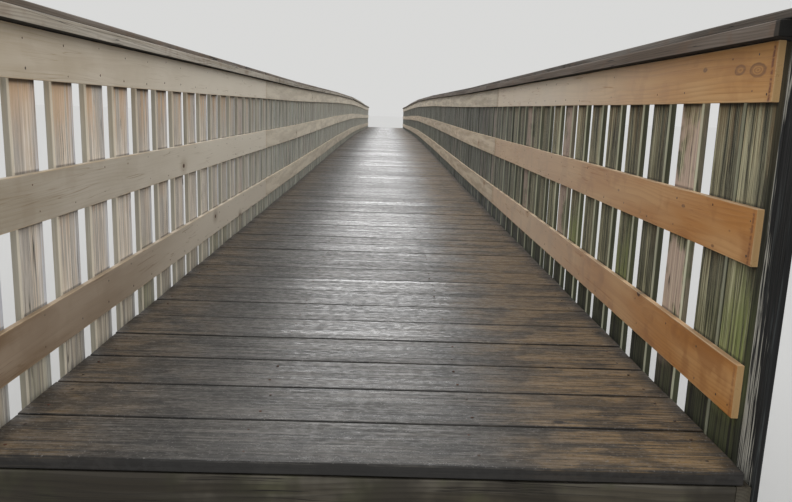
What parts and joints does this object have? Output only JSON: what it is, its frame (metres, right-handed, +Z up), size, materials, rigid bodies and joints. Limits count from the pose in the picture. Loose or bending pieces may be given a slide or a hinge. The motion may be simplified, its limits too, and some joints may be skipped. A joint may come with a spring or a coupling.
{
  "type": "wooden footbridge",
  "caption": "Cambered timber footbridge with a cross-planked deck on notched pile bents, between picket fences with three rails and a flat two-board cap.",
  "frame": {"origin": "on the ground, under the middle of the deck's length and width", "axes": "+Y along the bridge, away from its near end; +X across it to the right; +Z up"},
  "size_m": [2.045, 37.62, 2.283],
  "materials": {
    "deck_wood": "weathered, damp-darkened cross planks with a faint satin",
    "right_rail_wood": "fairly fresh orange-brown treated pine, dry and matt",
    "left_rail_wood": "beige-brown treated pine, dry and matt",
    "right_picket_wood": "dark olive-grey weathered boards with algae low down",
    "left_picket_wood": "pale grey-beige weathered boards with brown stains",
    "cap_wood": "grey weathered boards, rough",
    "upright_wood": "near-black weathered upright",
    "framing_wood": "grey-green treated framing timber",
    "pile_wood": "round treated timber, checked and brown-grey"
  },
  "bodies": {
    "root": {"deck_planks_1": "deck_wood", "deck_planks_2": "deck_wood", "deck_planks_3": "deck_wood", "deck_planks_4": "deck_wood", "deck_planks_5": "deck_wood", "deck_planks_6": "deck_wood", "left_pickets_1": "left_picket_wood", "left_pickets_2": "left_picket_wood", "left_pickets_3": "left_picket_wood", "left_pickets_4": "left_picket_wood", "left_pickets_5": "left_picket_wood", "left_pickets_6": "left_picket_wood", "right_pickets_1": "right_picket_wood", "right_pickets_2": "right_picket_wood", "right_pickets_3": "right_picket_wood", "right_pickets_4": "right_picket_wood", "right_pickets_5": "right_picket_wood", "right_pickets_6": "right_picket_wood", "left_bottom_rails": "left_rail_wood", "left_middle_rails": "left_rail_wood", "left_top_rails": "left_rail_wood", "right_bottom_rails": "right_rail_wood", "right_middle_rails": "right_rail_wood", "right_top_rails": "right_rail_wood", "left_cap_boards": "cap_wood", "left_cap_battens": "cap_wood", "left_end_uprights": "upright_wood", "left_rim_boards": "framing_wood", "left_outer_stringers": "framing_wood", "right_cap_boards": "cap_wood", "right_cap_battens": "cap_wood", "right_end_uprights": "upright_wood", "right_rim_boards": "framing_wood", "right_outer_stringers": "framing_wood", "inner_stringers": "framing_wood", "stringer_blocks": "framing_wood", "end_headers": "framing_wood", "cap_beams": "framing_wood", "bent_piles_1": "pile_wood", "bent_piles_2": "pile_wood", "bent_piles_3": "pile_wood", "bent_piles_4": "pile_wood", "bent_piles_5": "pile_wood", "bent_piles_6": "pile_wood", "bent_piles_7": "pile_wood"}
  },
  "joints": []
}
